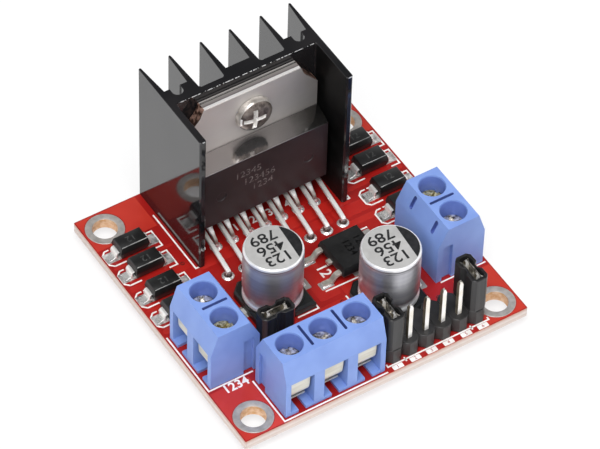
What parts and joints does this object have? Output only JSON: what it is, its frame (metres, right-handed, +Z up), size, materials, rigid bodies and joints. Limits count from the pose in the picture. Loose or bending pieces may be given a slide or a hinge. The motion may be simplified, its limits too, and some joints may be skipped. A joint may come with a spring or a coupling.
{
  "type": "dc motor driver module",
  "caption": "Square red motor driver board with a finned black heatsink over its driver chip, blue screw terminals, electrolytic capacitors, a pin header and jumpers.",
  "frame": {"origin": "under the middle of the board, level with the cut ends of the solder tails that the module stands on", "axes": "+Z up out of the component side; +X along the front edge from the three-way terminal to the pin header; +Y towards the heatsink"},
  "size_m": [0.043, 0.043, 0.0271],
  "materials": {
    "red_board": "glossy red solder mask over copper traces, white legend",
    "black_anodised": "black anodised extrusion, satin",
    "black_moulding": "matt black epoxy moulding",
    "nickel": "plain nickel plate",
    "tinned": "bright tin",
    "aluminium": "bright drawn aluminium can",
    "blue_plastic": "blue moulded plastic, soft gloss",
    "black_plastic": "black moulded plastic",
    "clear_red": "clear red lens",
    "ceramic": "tan ceramic block"
  },
  "bodies": {
    "root": {"capacitor_left_base": "black_plastic", "capacitor_left_can": "aluminium", "capacitor_right_base": "black_plastic", "capacitor_right_can": "aluminium", "circuit_board": "red_board", "control_header_base": "black_plastic", "control_pin_1": "nickel", "control_pin_2": "nickel", "control_pin_3": "nickel", "control_pin_4": "nickel", "control_pin_5": "nickel", "control_pin_6": "nickel", "diode_left_1": "black_moulding", "diode_left_2": "black_moulding", "diode_left_3": "black_moulding", "diode_left_4": "black_moulding", "diode_right_1": "black_moulding", "diode_right_2": "black_moulding", "diode_right_3": "black_moulding", "diode_right_4": "black_moulding", "driver_ic_body": "black_moulding", "driver_ic_tab": "nickel", "enable_supply_pin_1": "nickel", "enable_supply_pin_2": "nickel", "filter_capacitor_1": "ceramic", "filter_capacitor_2": "ceramic", "heatsink": "black_anodised", "heatsink_pin_left": "tinned", "heatsink_pin_right": "tinned", "heatsink_screw": "nickel", "jumper_enable_left_contact": "tinned", "jumper_enable_left_shell": "black_plastic", "jumper_enable_right_contact": "tinned", "jumper_enable_right_shell": "black_plastic", "jumper_regulator_contact": "tinned", "jumper_regulator_shell": "black_plastic", "led_resistor": "black_plastic", "power_led": "clear_red", "regulator_body": "black_moulding", "regulator_enable_pin_1": "nickel", "regulator_enable_pin_2": "nickel", "regulator_header_base": "black_plastic", "regulator_tab": "tinned", "terminal_front_clamp_1": "nickel", "terminal_front_clamp_2": "nickel", "terminal_front_clamp_3": "nickel", "terminal_front_housing": "blue_plastic", "terminal_front_screw_1": "tinned", "terminal_front_screw_2": "tinned", "terminal_front_screw_3": "tinned", "terminal_left_clamp_1": "nickel", "terminal_left_clamp_2": "nickel", "terminal_left_housing": "blue_plastic", "terminal_left_screw_1": "tinned", "terminal_left_screw_2": "tinned", "terminal_right_clamp_1": "nickel", "terminal_right_clamp_2": "nickel", "terminal_right_housing": "blue_plastic", "terminal_right_screw_1": "tinned", "terminal_right_screw_2": "tinned"}
  },
  "joints": []
}
